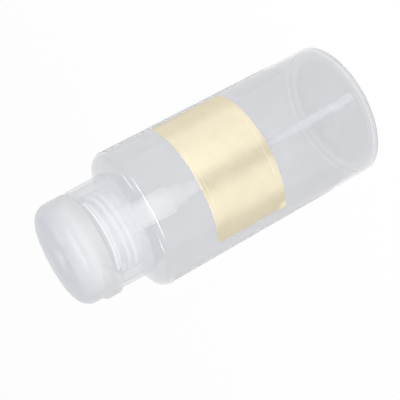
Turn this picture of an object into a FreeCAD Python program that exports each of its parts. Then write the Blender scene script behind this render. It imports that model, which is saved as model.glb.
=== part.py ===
import FreeCAD, Part
import math
import os

import Sketcher

# Press-pump oil bottle: clear bottle, screw collar with a flip lid, and a dish pump under the lid.
# Frame: +Z up along the bottle's axis, origin at the centre of the base, front label towards -Y,
# thumb lip towards -X and lid hinge towards +X. Lengths are millimetres, angles are degrees.

# Driving sizes: alias, value, what it measures.
SIZE_TABLE = [
    ("body_radius", 30.0, "outside of the straight side of the bottle"),
    ("body_wall", 1.0, "wall of the bottle's side and shoulder"),
    ("base_wall", 1.5, "thickness of the bottle's base"),
    ("foot_width", 5.5, "flat ring that the bottle stands on"),
    ("pushup_rise", 3.0, "height of the dome in the base"),
    ("heel_round", 1.0, "outer edge of the base"),
    ("heel_inner_round", 2.2, "inner corner of the base"),
    ("shoulder_height", 106.4, "where side and shoulder would meet unrounded"),
    ("shoulder_rise", 2.8, "rise of the shoulder from its edge to the neck"),
    ("shoulder_round", 3.0, "edge between side and shoulder"),
    ("neck_radius", 15.1, "neck at the thread's root"),
    ("neck_wall", 1.7, "wall of the neck"),
    ("neck_height", 9.8, "neck above the shoulder"),
    ("label_bottom", 49.7, "lower edge of the label above the base"),
    ("label_height", 33.4, "height of the label"),
    ("label_sweep", 127.0, "angle that the label wraps"),
    ("label_turn", 7.5, "label's middle, from the front towards the hinge"),
    ("label_corner", 2.5, "corner radius of the label"),
    ("label_thick", 0.12, "foil and paper"),
    ("glue_gap", 0.02, "glue line under the label"),
    ("seat_gap", 0.05, "play where a piece of another body is seated"),
    ("press_gap", 0.03, "radial play of pieces pressed together"),
    ("run_gap", 0.05, "radial play of sliding fits"),
    ("stop_gap", 0.3, "play before a stop"),
    ("gasket_thick", 1.0, "neck gasket"),
    ("gasket_width", 3.4, "radial width of the neck gasket"),
    ("flange_thick", 1.4, "flange of the pump housing"),
    ("flange_inset", 0.1, "flange edge inside the neck's outside"),
    ("bore_radius", 5.0, "bore of the pump chamber"),
    ("barrel_wall", 1.0, "wall of the pump chamber"),
    ("barrel_length", 33.45, "chamber below the flange"),
    ("barrel_floor", 1.2, "step at the chamber's lower end"),
    ("bush_radius", 6.2, "socket of the stem bush"),
    ("bush_length", 7.8, "length of the stem bush"),
    ("bush_wall", 1.4, "housing wall round the stem bush"),
    ("valve_radius", 4.7, "outside of the inlet valve's cage"),
    ("valve_length", 6.1, "length of the inlet valve's cage"),
    ("valve_bore", 3.5, "bore of the inlet valve's cage"),
    ("inlet_bore", 1.6, "hole under the inlet ball"),
    ("inlet_ball_radius", 2.5, "inlet check ball"),
    ("ball_gap", 0.05, "ball above its cone, along the axis"),
    ("cone_drop", 4.6, "top of the inlet cone below the chamber's step"),
    ("tail_radius", 3.1, "outside of the tube socket"),
    ("tail_length", 9.5, "length of the tube socket"),
    ("socket_depth", 8.5, "how far the tube goes into its socket"),
    ("tube_radius", 2.1, "outside of the dip tube"),
    ("tube_wall", 0.6, "wall of the dip tube"),
    ("tube_straight", 4.0, "straight run of the tube below its socket"),
    ("tube_reach", 25.4, "how far the tube's end leans from the axis"),
    ("tube_foot", 3.8, "height of the tube's end above the base"),
    ("tube_turn", 3.0, "lean of the tube, from the front towards the hinge"),
    ("stop_ring_width", 1.3, "ring of the ball stop"),
    ("stop_ring_thick", 0.8, "ring of the ball stop"),
    ("stop_cross_drop", 0.7, "cross of the ball stop below its ring"),
    ("stop_cross_width", 1.0, "bars of the ball stop"),
    ("spring_mean_radius", 3.9, "middle of the spring's wire"),
    ("spring_wire", 0.8, "diameter of the spring's wire"),
    ("spring_turns", 8, "turns of the spring"),
    ("piston_height", 5.2, "height of the piston"),
    ("piston_lip", 1.2, "height of each piston lip"),
    ("piston_waist", 0.5, "depth of the groove between the lips"),
    ("stem_radius", 2.8, "outside of the pump stem"),
    ("stem_bore", 1.0, "bore of the pump stem"),
    ("stem_flange_radius", 3.8, "stop flange of the stem"),
    ("stem_flange_thick", 1.3, "stop flange of the stem"),
    ("outlet_cage_radius", 2.0, "bore of the outlet valve's cage"),
    ("outlet_cage_depth", 4.2, "depth of the outlet valve's cage"),
    ("outlet_ball_radius", 1.5, "outlet check ball"),
    ("stroke", 5.5, "travel of the dish"),
    ("dish_skirt", 3.6, "height of the dish's rim"),
    ("dish_rim_width", 1.2, "wall of the dish's rim"),
    ("dish_rim_lip", 0.2, "step inside the dish's rim"),
    ("dish_depth", 1.6, "hollow of the dish below its rim"),
    ("dish_plate", 1.2, "thickness of the dish"),
    ("dish_arc", 70.0, "radius of the dish's hollow"),
    ("hub_wall", 1.6, "wall of the dish's hub"),
    ("dish_ribs", 6, "ribs under the dish"),
    ("rib_thick", 0.9, "thickness of a rib"),
    ("rib_clear", 0.6, "rib above the rim's lower edge"),
    ("jet_head_radius", 3.2, "head of the outlet insert"),
    ("jet_head_thick", 0.8, "head of the outlet insert"),
    ("jet_seat_width", 0.8, "ledge of the dish under the insert's head"),
    ("jet_shank_drop", 1.2, "insert's shank below the stem's end"),
    ("jet_bore", 0.6, "outlet hole"),
    ("jet_slot_width", 0.8, "slot that keeps the ball from closing the outlet"),
    ("jet_slot_depth", 0.6, "slot that keeps the ball from closing the outlet"),
    ("thread_depth", 1.0, "height of the neck's thread"),
    ("thread_clear", 0.3, "play round the neck's thread"),
    ("sleeve_wall", 1.2, "inner threaded sleeve of the collar"),
    ("sleeve_clear", 0.6, "sleeve above the shoulder"),
    ("collar_foot_radius", 22.5, "collar at its lower edge"),
    ("collar_clear", 0.45, "collar above the shoulder"),
    ("collar_wall", 1.2, "outer wall of the collar"),
    ("deck_thick", 1.3, "deck of the collar"),
    ("deck_hole", 9.0, "hole of the collar's deck"),
    ("ledge_height", 1.75, "collar's top edge above its deck"),
    ("spigot_height", 5.45, "spigot above the collar's top edge"),
    ("spigot_wall", 1.2, "wall of the spigot"),
    ("spigot_clear", 0.65, "spigot inside the lid"),
    ("dish_clear", 0.5, "dish inside the spigot"),
    ("bead_height", 0.25, "snap bead on the spigot"),
    ("bead_width", 1.2, "snap bead on the spigot"),
    ("bead_lift", 1.0, "snap bead above the collar's top edge"),
    ("seam_gap", 0.5, "seam between collar and lid"),
    ("lid_radius", 22.05, "lid at its lower edge"),
    ("lid_draft", 0.12, "how much narrower the lid is at its top"),
    ("lid_wall", 1.25, "wall of the lid"),
    ("lid_height", 14.45, "height of the lid's side, before its crown"),
    ("lid_crown", 0.3, "rise of the lid's top"),
    ("lid_top", 1.4, "thickness of the lid's top"),
    ("lid_round", 6.1, "edge between the lid's side and top"),
    ("lip_reach", 1.25, "thumb lip beyond the lid"),
    ("lip_half_width", 19.5, "half the width of the thumb lip"),
    ("lip_corner", 7.0, "lower corners of the thumb lip"),
    ("lip_rise", 5.6, "top of the thumb lip above the lid's lower edge"),
    ("lip_slope", 2.0, "height of the thumb lip's slanted top"),
    ("lip_drop", 1.8, "thumb lip below the lid's lower edge"),
    ("lip_round", 0.7, "outer edges of the thumb lip"),
    ("lip_clear", 0.4, "thumb lip outside the collar"),
    ("notch_half_height", 1.4, "hinge notch, from the hinge's axis"),
    ("notch_half_width", 6.5, "hinge notch, from the middle"),
    ("strap_half_width", 4.5, "hinge web, from the middle"),
    ("strap_thick", 0.4, "thickness of the hinge web"),
    ("strap_inset", 0.55, "hinge web inside the lid's outside"),
    ("plug_radius", 3.0, "soft plug under the lid"),
    ("plug_flange", 1.2, "flange of the soft plug beyond its shank"),
    ("plug_flange_thick", 1.0, "flange of the soft plug"),
    ("plug_clear", 0.3, "soft plug above the outlet"),
    ("plug_tip", 1.4, "soft plug below its flange"),
    ("boss_wall", 1.2, "socket of the soft plug"),
]

NODES_FOLDER = "parts"
SHEET_NAME = "Sizes"
MATCH = 1e-4
SPRING_POINTS_PER_TURN = 72
QUARTERS_PER_TURN = 4
# Closed end turns leave this much air between the wires.
SPRING_END_AIR = 0.5


class Size:
    """A number together with the sheet expression that gives it."""

    def __init__(self, value, text):
        self.value = float(value)
        self.text = text

    def _join(self, sign, other, value):
        return Size(value, "(%s %s %s)" % (self.text, sign, other.text))

    def __add__(self, other):
        other = as_size(other)
        return self._join("+", other, self.value + other.value)

    def __sub__(self, other):
        other = as_size(other)
        return self._join("-", other, self.value - other.value)

    def __mul__(self, other):
        other = as_size(other)
        return self._join("*", other, self.value * other.value)

    def __truediv__(self, other):
        other = as_size(other)
        return self._join("/", other, self.value / other.value)

    def __radd__(self, other):
        return as_size(other) + self

    def __rsub__(self, other):
        return as_size(other) - self

    def __rmul__(self, other):
        return as_size(other) * self

    def __neg__(self):
        return Size(-self.value, "(0 - %s)" % self.text)


class Arc:
    """A round stretch of an outline, between the point before it and the point after it."""

    def __init__(self, radius, turns_left):
        self.radius = radius
        self.turns_left = turns_left


def as_size(number):
    if isinstance(number, Size):
        return number
    return Size(number, repr(float(number)))


doc = FreeCAD.newDocument("PressPumpBottle")


def make_sheet():
    """Write the driving sizes to the sheet and give them back by name."""
    sheet = doc.addObject("Spreadsheet::Sheet", SHEET_NAME)
    sizes = {}
    for row, (alias, value, note) in enumerate(SIZE_TABLE, 1):
        sheet.set("A%d" % row, alias)
        sheet.set("B%d" % row, str(value))
        sheet.set("C%d" % row, note)
        sheet.setAlias("B%d" % row, alias)
        sizes[alias] = Size(value, "%s.%s" % (SHEET_NAME, alias))
    doc.recompute()
    return sizes


s = make_sheet()


def origin_plane(body, role):
    return next(plane for plane in body.Origin.OriginFeatures if plane.Role == role)


def new_body(name):
    body = doc.addObject("PartDesign::Body", name)
    body.Label = name
    return body


def add_sketch(body, name, role, lift=None):
    """A sketch on one of the body's own planes, raised along the plane's normal by lift."""
    sketch = body.newObject("Sketcher::SketchObject", name)
    sketch.AttachmentSupport = [(origin_plane(body, role), "")]
    sketch.MapMode = "FlatFace"
    if lift is not None:
        sketch.setExpression("AttachmentOffset.Base.z", lift.text)
    return sketch


def pin_coordinate(sketch, kind, axis, vertex, size):
    """Hold one coordinate of a vertex at a size measured from the sketch's origin."""
    if abs(size.value) < MATCH:
        sketch.addConstraint(Sketcher.Constraint("PointOnObject", vertex[0], vertex[1], axis))
        return
    ends = (-1, 1) + vertex
    if size.value < 0:
        ends = vertex + (-1, 1)
        size = -size
    index = sketch.addConstraint(Sketcher.Constraint(kind, *ends, size.value))
    sketch.setExpression("Constraints[%d]" % index, size.text)


def pin_vertex(sketch, vertex, place):
    pin_coordinate(sketch, "DistanceX", -2, vertex, place[0])
    pin_coordinate(sketch, "DistanceY", -1, vertex, place[1])


def arc_centre(start, end, radius, turns_left):
    """Centre of the short arc from start to end."""
    middle = (start + end) * 0.5
    chord = end - start
    reach = math.sqrt(max(radius ** 2 - (chord.Length / 2) ** 2, 0.0))
    aside = FreeCAD.Vector(-chord.y, chord.x, 0) * (1.0 / chord.Length)
    return middle + aside * (reach if turns_left else -reach)


def add_arc(sketch, start, end, arc):
    """Add an arc edge; gives its index and which of its ends is the start."""
    centre = arc_centre(start, end, arc.radius.value, arc.turns_left)
    from_angle = math.atan2(start.y - centre.y, start.x - centre.x)
    to_angle = math.atan2(end.y - centre.y, end.x - centre.x)
    if not arc.turns_left:
        from_angle, to_angle = to_angle, from_angle
    circle = Part.Circle(centre, FreeCAD.Vector(0, 0, 1), arc.radius.value)
    edge = sketch.addGeometry(Part.ArcOfCircle(circle, from_angle, to_angle), False)
    index = sketch.addConstraint(Sketcher.Constraint("Radius", edge, arc.radius.value))
    sketch.setExpression("Constraints[%d]" % index, arc.radius.text)
    return edge, (1, 2) if arc.turns_left else (2, 1)


def draw_outline(sketch, outline):
    """Draw a closed outline of points, with arcs where an Arc stands between two points."""
    places = []
    arcs = {}
    for item in outline:
        if isinstance(item, Arc):
            arcs[len(places) - 1] = item
        else:
            places.append((as_size(item[0]), as_size(item[1])))
    corners = [FreeCAD.Vector(x.value, y.value, 0) for x, y in places]
    edges = []
    for index, corner in enumerate(corners):
        following = corners[(index + 1) % len(corners)]
        if index in arcs:
            edges.append(add_arc(sketch, corner, following, arcs[index]))
        else:
            line = sketch.addGeometry(Part.LineSegment(corner, following), False)
            edges.append((line, (1, 2)))
    for index, place in enumerate(places):
        edge, ends = edges[index]
        last_edge, last_ends = edges[index - 1]
        joined = Sketcher.Constraint("Coincident", last_edge, last_ends[1], edge, ends[0])
        sketch.addConstraint(joined)
        pin_vertex(sketch, (edge, ends[0]), place)


def draw_circle(sketch, radius):
    circle = Part.Circle(FreeCAD.Vector(0, 0, 0), FreeCAD.Vector(0, 0, 1), radius.value)
    edge = sketch.addGeometry(circle, False)
    sketch.addConstraint(Sketcher.Constraint("Coincident", edge, 3, -1, 1))
    index = sketch.addConstraint(Sketcher.Constraint("Radius", edge, radius.value))
    sketch.setExpression("Constraints[%d]" % index, radius.text)


def revolve(body, name, outline, sweep=None):
    """Turn an outline of (radius, height) points about the axis, all round or over a middle sweep."""
    sketch = add_sketch(body, name + "_profile", "XZ_Plane")
    draw_outline(sketch, outline)
    turned = body.newObject("PartDesign::Revolution", name)
    turned.Profile = sketch
    turned.ReferenceAxis = (sketch, ["V_Axis"])
    turned.Angle = 360.0
    if sweep is not None:
        turned.Midplane = True
        turned.setExpression("Angle", sweep.text)
    doc.recompute()
    return turned


def pad(body, name, role, outline, length, lift=None, middle=False):
    sketch = add_sketch(body, name + "_outline", role, lift)
    draw_outline(sketch, outline)
    padded = body.newObject("PartDesign::Pad", name)
    padded.Profile = sketch
    padded.Midplane = middle
    padded.setExpression("Length", length.text)
    doc.recompute()
    return padded


def is_ring(radius, height):
    """Test for the round edge of this radius at this height."""
    def test(edge):
        if edge.Degenerated or not isinstance(edge.Curve, Part.Circle):
            return False
        return (abs(edge.Curve.Radius - radius.value) < MATCH
                and abs(edge.Curve.Center.z - height.value) < MATCH)
    return test


def round_edges(body, name, base, radius, test):
    """Round every edge of base that passes the test."""
    edges = ["Edge%d" % number for number, edge in enumerate(base.Shape.Edges, 1) if test(edge)]
    if not edges:
        raise RuntimeError("no edge to round for " + name)
    rounded = body.newObject("PartDesign::Fillet", name)
    rounded.Base = (base, edges)
    rounded.setExpression("Radius", radius.text)
    doc.recompute()
    return rounded


def turn_about_axis(thing, angle):
    thing.Placement = FreeCAD.Placement(FreeCAD.Vector(), FreeCAD.Rotation(FreeCAD.Vector(0, 0, 1), 0))
    thing.setExpression("Placement.Rotation.Angle", angle.text)


def add_box(name, low, high):
    """A block between two corners, each three sizes."""
    box = doc.addObject("Part::Box", name)
    for side, letter, start, end in zip(("Length", "Width", "Height"), "xyz", low, high):
        box.setExpression(side, (end - start).text)
        box.setExpression("Placement.Base." + letter, start.text)
    return box


def add_ball(name, radius, height):
    ball = doc.addObject("Part::Sphere", name)
    ball.Label = name
    ball.setExpression("Radius", radius.text)
    ball.setExpression("Placement.Base.z", height.text)
    return ball


def cut(name, base, tool):
    result = doc.addObject("Part::Cut", name)
    result.Label = name
    result.Base = base
    result.Tool = tool
    return result


# Heights that several pieces share, from the base upwards.
neck_root = s["shoulder_height"] + s["shoulder_rise"]
neck_rim = neck_root + s["neck_height"]
gasket_bottom = neck_rim + s["seat_gap"]
flange_bottom = gasket_bottom + s["gasket_thick"]
flange_top = flange_bottom + s["flange_thick"]
flange_radius = s["neck_radius"] - s["flange_inset"]
barrel_bottom = flange_bottom - s["barrel_length"]
chamber_floor = barrel_bottom + s["barrel_floor"]
valve_bottom = barrel_bottom - s["valve_length"]
cone_top = chamber_floor - s["cone_drop"]
cone_bottom = cone_top - (s["valve_bore"] - s["inlet_bore"])
tail_bottom = valve_bottom - s["tail_length"]
socket_top = tail_bottom + s["socket_depth"]
bush_bottom = flange_top - s["bush_length"]
stem_flange_top = bush_bottom - s["stop_gap"]
piston_top = stem_flange_top - s["stem_flange_thick"]
piston_bottom = piston_top - s["piston_height"]
stop_ring_top = chamber_floor + s["stop_ring_thick"]
deck_bottom = flange_top + s["seat_gap"]
deck_top = deck_bottom + s["deck_thick"]
collar_top = deck_top + s["ledge_height"]
spigot_top = collar_top + s["spigot_height"]
lid_rim = collar_top + s["seam_gap"]
lid_side_top = lid_rim + s["lid_height"]
hinge_height = collar_top + s["seam_gap"] / 2
dish_bottom = deck_top + s["stop_gap"] + s["stroke"]
dish_rim_top = dish_bottom + s["dish_skirt"]
dish_middle = dish_rim_top - s["dish_depth"]
stem_top = dish_middle - s["dish_plate"]
hub_bottom = flange_top + s["stop_gap"] + s["stroke"]

# Radii that several pieces share.
lid_inner = s["lid_radius"] - s["lid_wall"]
spigot_outer = lid_inner - s["spigot_clear"]
spigot_inner = spigot_outer - s["spigot_wall"]
dish_radius = spigot_inner - s["dish_clear"]
dish_inner = dish_radius - s["dish_rim_width"]
hub_radius = s["stem_radius"] + s["press_gap"] + s["hub_wall"]
sleeve_inner = s["neck_radius"] + s["thread_depth"] + s["thread_clear"]
sleeve_outer = sleeve_inner + s["sleeve_wall"]

# A ball on a 45 degree cone stands this many radii above the cone's point.
BALL_ON_CONE = math.sqrt(2.0)


def shoulder_at(radius):
    """Height of the bottle's shoulder at this radius."""
    slope = s["shoulder_rise"] / (s["body_radius"] - s["neck_radius"])
    return s["shoulder_height"] + slope * (s["body_radius"] - radius)


def dome_radius(half_width, rise):
    return (half_width * half_width + rise * rise) / (2 * rise)


def make_bottle():
    body = new_body("bottle")
    outer = s["body_radius"]
    inner = outer - s["body_wall"]
    neck_inner = s["neck_radius"] - s["neck_wall"]
    foot_inner = outer - s["foot_width"]
    dome = dome_radius(foot_inner, s["pushup_rise"])
    inner_shoulder = s["shoulder_height"] - s["body_wall"]
    outline = [
        (foot_inner, 0),
        (outer, 0),
        (outer, s["shoulder_height"]),
        (s["neck_radius"], neck_root),
        (s["neck_radius"], neck_rim),
        (neck_inner, neck_rim),
        (neck_inner, neck_root - s["body_wall"]),
        (inner, inner_shoulder),
        (inner, s["base_wall"]),
        (foot_inner, s["base_wall"]),
        Arc(dome, False),
        (0, s["base_wall"] + s["pushup_rise"]),
        (0, s["pushup_rise"]),
        Arc(dome, True),
    ]
    shell = revolve(body, "bottle_shell", outline)
    heel = round_edges(body, "bottle_heel", shell, s["heel_round"], is_ring(outer, as_size(0)))
    inner_heel = round_edges(
        body, "bottle_inner_heel", heel, s["heel_inner_round"], is_ring(inner, s["base_wall"]))
    edge = round_edges(
        body, "bottle_shoulder", inner_heel, s["shoulder_round"], is_ring(outer, s["shoulder_height"]))
    inside_round = s["shoulder_round"] - s["body_wall"]
    round_edges(body, "bottle_inner_shoulder", edge, inside_round, is_ring(inner, inner_shoulder))
    return body


def make_label():
    body = new_body("label")
    inner = s["body_radius"] + s["glue_gap"]
    outer = inner + s["label_thick"]
    top = s["label_bottom"] + s["label_height"]
    outline = [
        (inner, s["label_bottom"]),
        (outer, s["label_bottom"]),
        (outer, top),
        (inner, top),
    ]
    foil = revolve(body, "label_foil", outline, s["label_sweep"])
    shortest = 2 * s["label_thick"].value
    round_edges(body, "label_corners", foil, s["label_corner"], lambda edge: edge.Length < shortest)
    turn_about_axis(body, s["label_turn"] - 90)
    return body


def make_gasket():
    body = new_body("neck_gasket")
    inner = flange_radius - s["gasket_width"]
    outline = [
        (inner, gasket_bottom),
        (flange_radius, gasket_bottom),
        (flange_radius, flange_bottom),
        (inner, flange_bottom),
    ]
    revolve(body, "gasket_ring", outline)
    return body


def make_housing():
    body = new_body("pump_housing")
    barrel = s["bore_radius"] + s["barrel_wall"]
    bush_outer = s["bush_radius"] + s["bush_wall"]
    bush_step = bush_bottom - s["barrel_floor"]
    socket = s["tube_radius"] + s["press_gap"]
    outline = [
        (socket, tail_bottom),
        (s["tail_radius"], tail_bottom),
        (s["tail_radius"], valve_bottom),
        (s["valve_radius"], valve_bottom),
        (s["valve_radius"], barrel_bottom),
        (barrel, barrel_bottom),
        (barrel, bush_step),
        (bush_outer, bush_step),
        (bush_outer, flange_bottom),
        (flange_radius, flange_bottom),
        (flange_radius, flange_top),
        (s["bush_radius"], flange_top),
        (s["bush_radius"], bush_bottom),
        (s["bore_radius"], bush_bottom),
        (s["bore_radius"], chamber_floor),
        (s["valve_bore"], chamber_floor),
        (s["valve_bore"], cone_top),
        (s["inlet_bore"], cone_bottom),
        (s["inlet_bore"], socket_top),
        (socket, socket_top),
    ]
    revolve(body, "housing_shell", outline)
    return body


def make_bush():
    body = new_body("stem_bush")
    outer = s["bush_radius"] - s["press_gap"]
    inner = s["stem_radius"] + s["run_gap"]
    outline = [
        (inner, bush_bottom),
        (outer, bush_bottom),
        (outer, flange_top),
        (inner, flange_top),
    ]
    revolve(body, "bush_ring", outline)
    return body


def make_ball_stop():
    """A ring on the chamber's step, with a cross that hangs over the inlet ball."""
    body = new_body("ball_stop")
    outer = s["bore_radius"] - s["stop_gap"]
    inner = outer - s["stop_ring_width"]
    outline = [
        (inner, chamber_floor),
        (outer, chamber_floor),
        (outer, stop_ring_top),
        (inner, stop_ring_top),
    ]
    revolve(body, "stop_ring", outline)
    arm = s["valve_bore"] - s["press_gap"]
    half = s["stop_cross_width"] / 2
    cross = [
        (half, half),
        (half, arm),
        (-half, arm),
        (-half, half),
        (-arm, half),
        (-arm, -half),
        (-half, -half),
        (-half, -arm),
        (half, -arm),
        (half, -half),
        (arm, -half),
        (arm, half),
    ]
    drop = s["stop_cross_drop"]
    pad(body, "stop_cross", "XY_Plane", cross, s["stop_ring_thick"] + drop, chamber_floor - drop)
    return body


def make_inlet_ball():
    point = cone_bottom - s["inlet_bore"]
    height = point + BALL_ON_CONE * s["inlet_ball_radius"] + s["ball_gap"]
    return add_ball("inlet_ball", s["inlet_ball_radius"], height)


def make_outlet_ball():
    point = stem_top - s["outlet_cage_depth"] - s["outlet_cage_radius"]
    height = point + BALL_ON_CONE * s["outlet_ball_radius"] + s["ball_gap"]
    return add_ball("outlet_ball", s["outlet_ball_radius"], height)


def spring_height(turn, turns, low, high, end_pitch):
    """Height of the wire's middle after a number of turns: closed end turns, even turns between."""
    inner_pitch = (high - low - 2 * end_pitch) / (turns - 2)
    if turn < 1:
        return low + end_pitch * turn
    if turn > turns - 1:
        return high - end_pitch * (turns - turn)
    return low + end_pitch + inner_pitch * (turn - 1)


def biarc(start, start_way, end, end_way):
    """Two arcs that leave start along start_way and reach end along end_way."""
    across = end - start
    ways = start_way + end_way
    spread = 2 * (1 - start_way.dot(end_way))
    along = across.dot(ways)
    reach = (math.sqrt(along ** 2 + spread * across.dot(across)) - along) / spread
    first_corner = start + start_way * reach
    last_corner = end - end_way * reach
    joint = (first_corner + last_corner) * 0.5
    return [round_corner(start, first_corner, joint), round_corner(joint, last_corner, end)]


def round_corner(start, corner, end):
    """The arc from start to end whose end tangents meet at corner."""
    middle = (start + end) * 0.5
    half_chord = (end - start).Length / 2
    leg = (corner - start).Length
    depth = (corner - middle).Length
    rise = half_chord * leg / depth * (1 - half_chord / leg)
    top = middle + (corner - middle) * (rise / depth)
    return Part.Arc(start, top, end).toShape()


def least_spring_gap(points, points_per_turn, wire):
    """Least air between wires at least half a turn apart."""
    apart = points_per_turn // 2
    nearest = min(
        (points[late] - points[early]).Length
        for early in range(len(points))
        for late in range(early + apart, min(early + 2 * points_per_turn, len(points))))
    return nearest - wire


def make_spring():
    """One unbroken wire along a helix, from the ball stop to the piston."""
    wire = s["spring_wire"].value
    radius = s["spring_mean_radius"].value
    turns = int(s["spring_turns"].value)
    low = stop_ring_top.value + wire / 2 + s["seat_gap"].value
    high = piston_bottom.value - wire / 2 - s["seat_gap"].value
    end_pitch = wire + SPRING_END_AIR

    def place(turn):
        angle = 2 * math.pi * turn
        height = spring_height(turn, turns, low, high, end_pitch)
        return FreeCAD.Vector(radius * math.cos(angle), radius * math.sin(angle), height)

    def way(turn):
        step = 1.0 / SPRING_POINTS_PER_TURN
        climb = (place(turn + step).z - place(turn - step).z) / (2 * step)
        angle = 2 * math.pi * turn
        round_speed = 2 * math.pi * radius
        tangent = FreeCAD.Vector(-round_speed * math.sin(angle), round_speed * math.cos(angle), climb)
        return tangent.normalize()

    edges = []
    for quarter in range(turns * QUARTERS_PER_TURN):
        start = quarter / QUARTERS_PER_TURN
        end = (quarter + 1) / QUARTERS_PER_TURN
        edges += biarc(place(start), way(start), place(end), way(end))
    section = Part.Wire([Part.Circle(place(0), way(0), wire / 2).toShape()])
    tube = Part.BRepOffsetAPI.MakePipeShell(Part.Wire(edges))
    tube.add(section)
    tube.build()
    tube.makeSolid()
    count = turns * SPRING_POINTS_PER_TURN
    points = [place(index / SPRING_POINTS_PER_TURN) for index in range(count + 1)]
    print("least gap of the spring to itself: %.2f mm" % least_spring_gap(points, SPRING_POINTS_PER_TURN, wire))
    spring = doc.addObject("Part::Feature", "return_spring")
    spring.Label = "return_spring"
    spring.Shape = tube.shape()
    spring.Placement = FreeCAD.Placement()
    return spring


def make_piston():
    body = new_body("piston")
    outer = s["bore_radius"] - s["run_gap"]
    waist = outer - s["piston_waist"]
    inner = s["stem_radius"] + s["press_gap"]
    low_lip = piston_bottom + s["piston_lip"]
    high_lip = piston_top - s["piston_lip"]
    outline = [
        (inner, piston_bottom),
        (outer, piston_bottom),
        (outer, low_lip),
        (waist, low_lip + s["piston_waist"]),
        (waist, high_lip - s["piston_waist"]),
        (outer, high_lip),
        (outer, piston_top),
        (inner, piston_top),
    ]
    revolve(body, "piston_seal", outline)
    return body


def make_stem():
    body = new_body("pump_stem")
    cage_bottom = stem_top - s["outlet_cage_depth"]
    cone_foot = cage_bottom - (s["outlet_cage_radius"] - s["stem_bore"])
    outline = [
        (s["stem_bore"], piston_bottom),
        (s["stem_radius"], piston_bottom),
        (s["stem_radius"], piston_top),
        (s["stem_flange_radius"], piston_top),
        (s["stem_flange_radius"], stem_flange_top),
        (s["stem_radius"], stem_flange_top),
        (s["stem_radius"], stem_top),
        (s["outlet_cage_radius"], stem_top),
        (s["outlet_cage_radius"], cage_bottom),
        (s["stem_bore"], cone_foot),
    ]
    revolve(body, "stem_rod", outline)
    return body


def make_dish():
    """A shallow dish with a rim, a hub over the stem and ribs between the two."""
    body = new_body("press_dish")
    hub_bore = s["stem_radius"] + s["press_gap"]
    head = s["jet_head_radius"] + s["press_gap"]
    hole = head - s["jet_seat_width"]
    seat = dish_middle - s["jet_head_thick"]
    plate_edge = dish_rim_top - s["dish_rim_lip"]
    outline = [
        (hole, stem_top),
        (hub_bore, stem_top),
        (hub_bore, hub_bottom),
        (hub_radius, hub_bottom),
        (hub_radius, stem_top),
        Arc(s["dish_arc"], True),
        (dish_inner, plate_edge - s["dish_plate"]),
        (dish_inner, dish_bottom),
        (dish_radius, dish_bottom),
        (dish_radius, dish_rim_top),
        (dish_inner, dish_rim_top),
        (dish_inner, plate_edge),
        Arc(s["dish_arc"], False),
        (head, dish_middle),
        (head, seat),
        (hole, seat),
    ]
    revolve(body, "dish_shell", outline)
    sunk = s["press_gap"] * 2
    rib_bottom = dish_bottom + s["rib_clear"]
    rib_outline = [
        (hub_radius - sunk, rib_bottom),
        (dish_inner + sunk, rib_bottom),
        (dish_inner + sunk, plate_edge - s["dish_plate"]),
        (hub_radius - sunk, stem_top),
    ]
    rib = pad(body, "dish_rib", "XZ_Plane", rib_outline, s["rib_thick"], middle=True)
    ribs = body.newObject("PartDesign::PolarPattern", "dish_rib_ring")
    ribs.Originals = [rib]
    ribs.Axis = (rib.Profile[0], ["V_Axis"])
    ribs.Angle = 360.0
    ribs.setExpression("Occurrences", s["dish_ribs"].text)
    body.Tip = ribs
    doc.recompute()
    return body


def make_insert():
    """A headed jet whose slotted shank keeps the outlet ball from closing it."""
    body = new_body("outlet_insert")
    shank = s["outlet_cage_radius"] - s["press_gap"]
    seat = dish_middle - s["jet_head_thick"]
    shank_bottom = stem_top - s["jet_shank_drop"]
    outline = [
        (s["jet_bore"], shank_bottom),
        (shank, shank_bottom),
        (shank, seat),
        (s["jet_head_radius"], seat),
        (s["jet_head_radius"], dish_middle),
        (s["jet_bore"], dish_middle),
    ]
    revolve(body, "jet_body", outline)
    half = s["jet_slot_width"] / 2
    beyond = s["outlet_cage_radius"]
    slot = [(-beyond, -half), (beyond, -half), (beyond, half), (-beyond, half)]
    sketch = add_sketch(body, "jet_slot_outline", "XY_Plane", shank_bottom)
    draw_outline(sketch, slot)
    pocket = body.newObject("PartDesign::Pocket", "jet_slot")
    pocket.Profile = sketch
    pocket.Reversed = True
    pocket.setExpression("Length", s["jet_slot_depth"].text)
    doc.recompute()
    return body


def make_tube():
    """The dip tube: straight out of its socket, then one long bend to the lower corner."""
    body = new_body("dip_tube")
    bend_start = tail_bottom - s["tube_straight"]
    fall = bend_start - s["tube_foot"]
    bend = dome_radius(fall, s["tube_reach"])
    path = add_sketch(body, "tube_path", "XZ_Plane")
    top = FreeCAD.Vector(0, socket_top.value, 0)
    start = FreeCAD.Vector(0, bend_start.value, 0)
    end = FreeCAD.Vector(s["tube_reach"].value, s["tube_foot"].value, 0)
    run = path.addGeometry(Part.LineSegment(top, start), False)
    curve, ends = add_arc(path, start, end, Arc(bend, True))
    path.addConstraint(Sketcher.Constraint("Coincident", run, 2, curve, ends[0]))
    pin_vertex(path, (run, 1), (as_size(0), socket_top))
    pin_vertex(path, (run, 2), (as_size(0), bend_start))
    pin_vertex(path, (curve, ends[1]), (s["tube_reach"], s["tube_foot"]))
    section = add_sketch(body, "tube_section", "XY_Plane", socket_top)
    draw_circle(section, s["tube_radius"])
    draw_circle(section, s["tube_radius"] - s["tube_wall"])
    tube = body.newObject("PartDesign::AdditivePipe", "tube_wall")
    tube.Profile = section
    tube.Spine = path
    turn_about_axis(body, s["tube_turn"] - 90)
    doc.recompute()
    return body


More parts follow.
